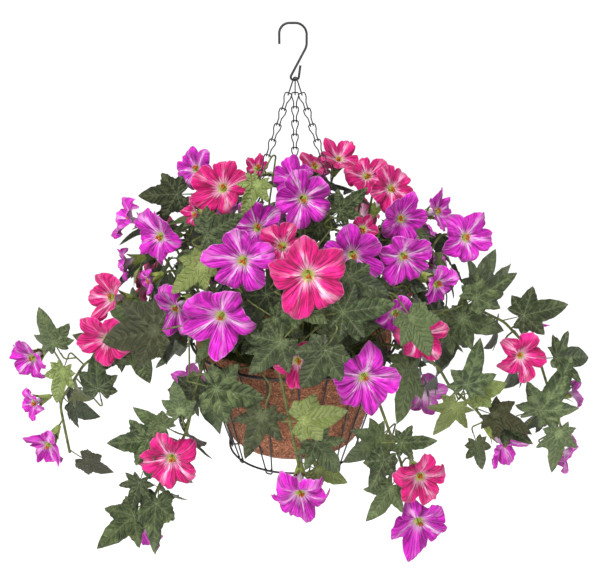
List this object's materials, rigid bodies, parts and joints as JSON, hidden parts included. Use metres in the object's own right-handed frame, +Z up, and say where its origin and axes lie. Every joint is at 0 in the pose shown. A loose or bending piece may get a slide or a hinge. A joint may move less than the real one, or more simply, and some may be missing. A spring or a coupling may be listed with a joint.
{
  "type": "hanging basket",
  "caption": "wire hanging basket with coco liner on a chain-and-hook hanger, full of artificial trumpet flowers, ivy-like leaves and trailing stems",
  "frame": {"origin": "where the hook bears on its support, at the inner top of its bend", "axes": "+Z up, -Y the front as displayed, +X to the viewer's right"},
  "size_m": [0.8435, 0.5661, 0.7022],
  "materials": {
    "black_wire": "satin",
    "coco_fibre": "matte",
    "foam": "matte",
    "stem_green": "satin",
    "leaf_dark_green": "matte",
    "leaf_yellow_green": "matte",
    "petal_purple": "matte",
    "petal_pink": "matte",
    "stamen_orange": "matte"
  },
  "bodies": {
    "hook": {"hook": "black_wire"},
    "rings": {"top_rings": "black_wire"},
    "basket": {"base_cross_wires": "black_wire", "base_ring": "black_wire", "bush_calyxes": "stem_green", "bush_leaves": "leaf_dark_green", "bush_leaves_lime": "leaf_yellow_green", "bush_petals_pink": "petal_pink", "bush_petals_purple": "petal_purple", "bush_stamens": "stamen_orange", "bush_stems": "stem_green", "chain_back": "black_wire", "chain_left": "black_wire", "chain_right": "black_wire", "coco_liner": "coco_fibre", "foam_block": "foam", "ribs": "black_wire", "rim_clips": "black_wire", "rim_ring": "black_wire"},
    "vine_far_left": {"vine_far_left_leaves": "leaf_dark_green", "vine_far_left_leaves_lime": "leaf_yellow_green", "vine_far_left_petals_pink": "petal_pink", "vine_far_left_petals_purple": "petal_purple", "vine_far_left_stamens": "stamen_orange", "vine_far_left_stems": "stem_green"},
    "vine_left": {"vine_left_leaves": "leaf_dark_green", "vine_left_petals_pink": "petal_pink", "vine_left_petals_purple": "petal_purple", "vine_left_stamens": "stamen_orange", "vine_left_stems": "stem_green"},
    "vine_front": {"vine_front_leaves": "leaf_dark_green", "vine_front_leaves_lime": "leaf_yellow_green", "vine_front_petals_purple": "petal_purple", "vine_front_stamens": "stamen_orange", "vine_front_stems": "stem_green"},
    "vine_front_right": {"vine_front_right_leaves": "leaf_dark_green", "vine_front_right_petals_pink": "petal_pink", "vine_front_right_petals_purple": "petal_purple", "vine_front_right_stamens": "stamen_orange", "vine_front_right_stems": "stem_green"},
    "vine_right": {"vine_right_leaves": "leaf_dark_green", "vine_right_leaves_lime": "leaf_yellow_green", "vine_right_petals_purple": "petal_purple", "vine_right_stamens": "stamen_orange", "vine_right_stems": "stem_green"},
    "vine_far_right": {"vine_far_right_leaves": "leaf_dark_green", "vine_far_right_petals_pink": "petal_pink", "vine_far_right_petals_purple": "petal_purple", "vine_far_right_stamens": "stamen_orange", "vine_far_right_stems": "stem_green"},
    "vine_back_right": {"vine_back_right_leaves": "leaf_dark_green", "vine_back_right_petals_pink": "petal_pink", "vine_back_right_petals_purple": "petal_purple", "vine_back_right_stamens": "stamen_orange", "vine_back_right_stems": "stem_green"},
    "vine_back_left": {"vine_back_left_leaves": "leaf_dark_green", "vine_back_left_petals_purple": "petal_purple", "vine_back_left_stamens": "stamen_orange", "vine_back_left_stems": "stem_green"}
  },
  "joints": [
    {"name": "side_sway", "type": "hinge", "parent": "hook", "child": "rings", "pos_m": [0.00275, 0, -0.0647], "axis": [0, 1, 0], "range_deg": [-15, 15]},
    {"name": "fore_aft_sway", "type": "hinge", "parent": "rings", "child": "basket", "pos_m": [0.00275, 0, -0.08643], "axis": [1, 0, 0], "range_deg": [-6, 6]},
    {"name": "vine_far_left_bend", "type": "hinge", "parent": "basket", "child": "vine_far_left", "pos_m": [-0.16637, -0.02338, -0.404], "axis": [-0.1392, 0.9903, 0], "range_deg": [-3, 10]},
    {"name": "vine_left_bend", "type": "hinge", "parent": "basket", "child": "vine_left", "pos_m": [-0.11241, -0.12485, -0.404], "axis": [-0.7431, 0.6691, 0], "range_deg": [-3, 10]},
    {"name": "vine_front_bend", "type": "hinge", "parent": "basket", "child": "vine_front", "pos_m": [-0.01756, -0.16708, -0.404], "axis": [-0.9945, 0.1045, 0], "range_deg": [-3, 10]},
    {"name": "vine_front_right_bend", "type": "hinge", "parent": "basket", "child": "vine_front_right", "pos_m": [0.07887, -0.14833, -0.404], "axis": [-0.8829, -0.4695, 0], "range_deg": [-3, 10]},
    {"name": "vine_right_bend", "type": "hinge", "parent": "basket", "child": "vine_right", "pos_m": [0.13928, -0.09394, -0.404], "axis": [-0.5592, -0.829, 0], "range_deg": [-3, 10]},
    {"name": "vine_far_right_bend", "type": "hinge", "parent": "basket", "child": "vine_far_right", "pos_m": [0.16708, -0.01756, -0.404], "axis": [-0.1045, -0.9945, 0], "range_deg": [-3, 10]},
    {"name": "vine_back_right_bend", "type": "hinge", "parent": "basket", "child": "vine_back_right", "pos_m": [0.10799, 0.1287, -0.404], "axis": [0.766, -0.6428, 0], "range_deg": [-3, 6]},
    {"name": "vine_back_left_bend", "type": "hinge", "parent": "basket", "child": "vine_back_left", "pos_m": [-0.08903, 0.14247, -0.404], "axis": [0.848, 0.5299, 0], "range_deg": [-3, 10]}
  ]
}
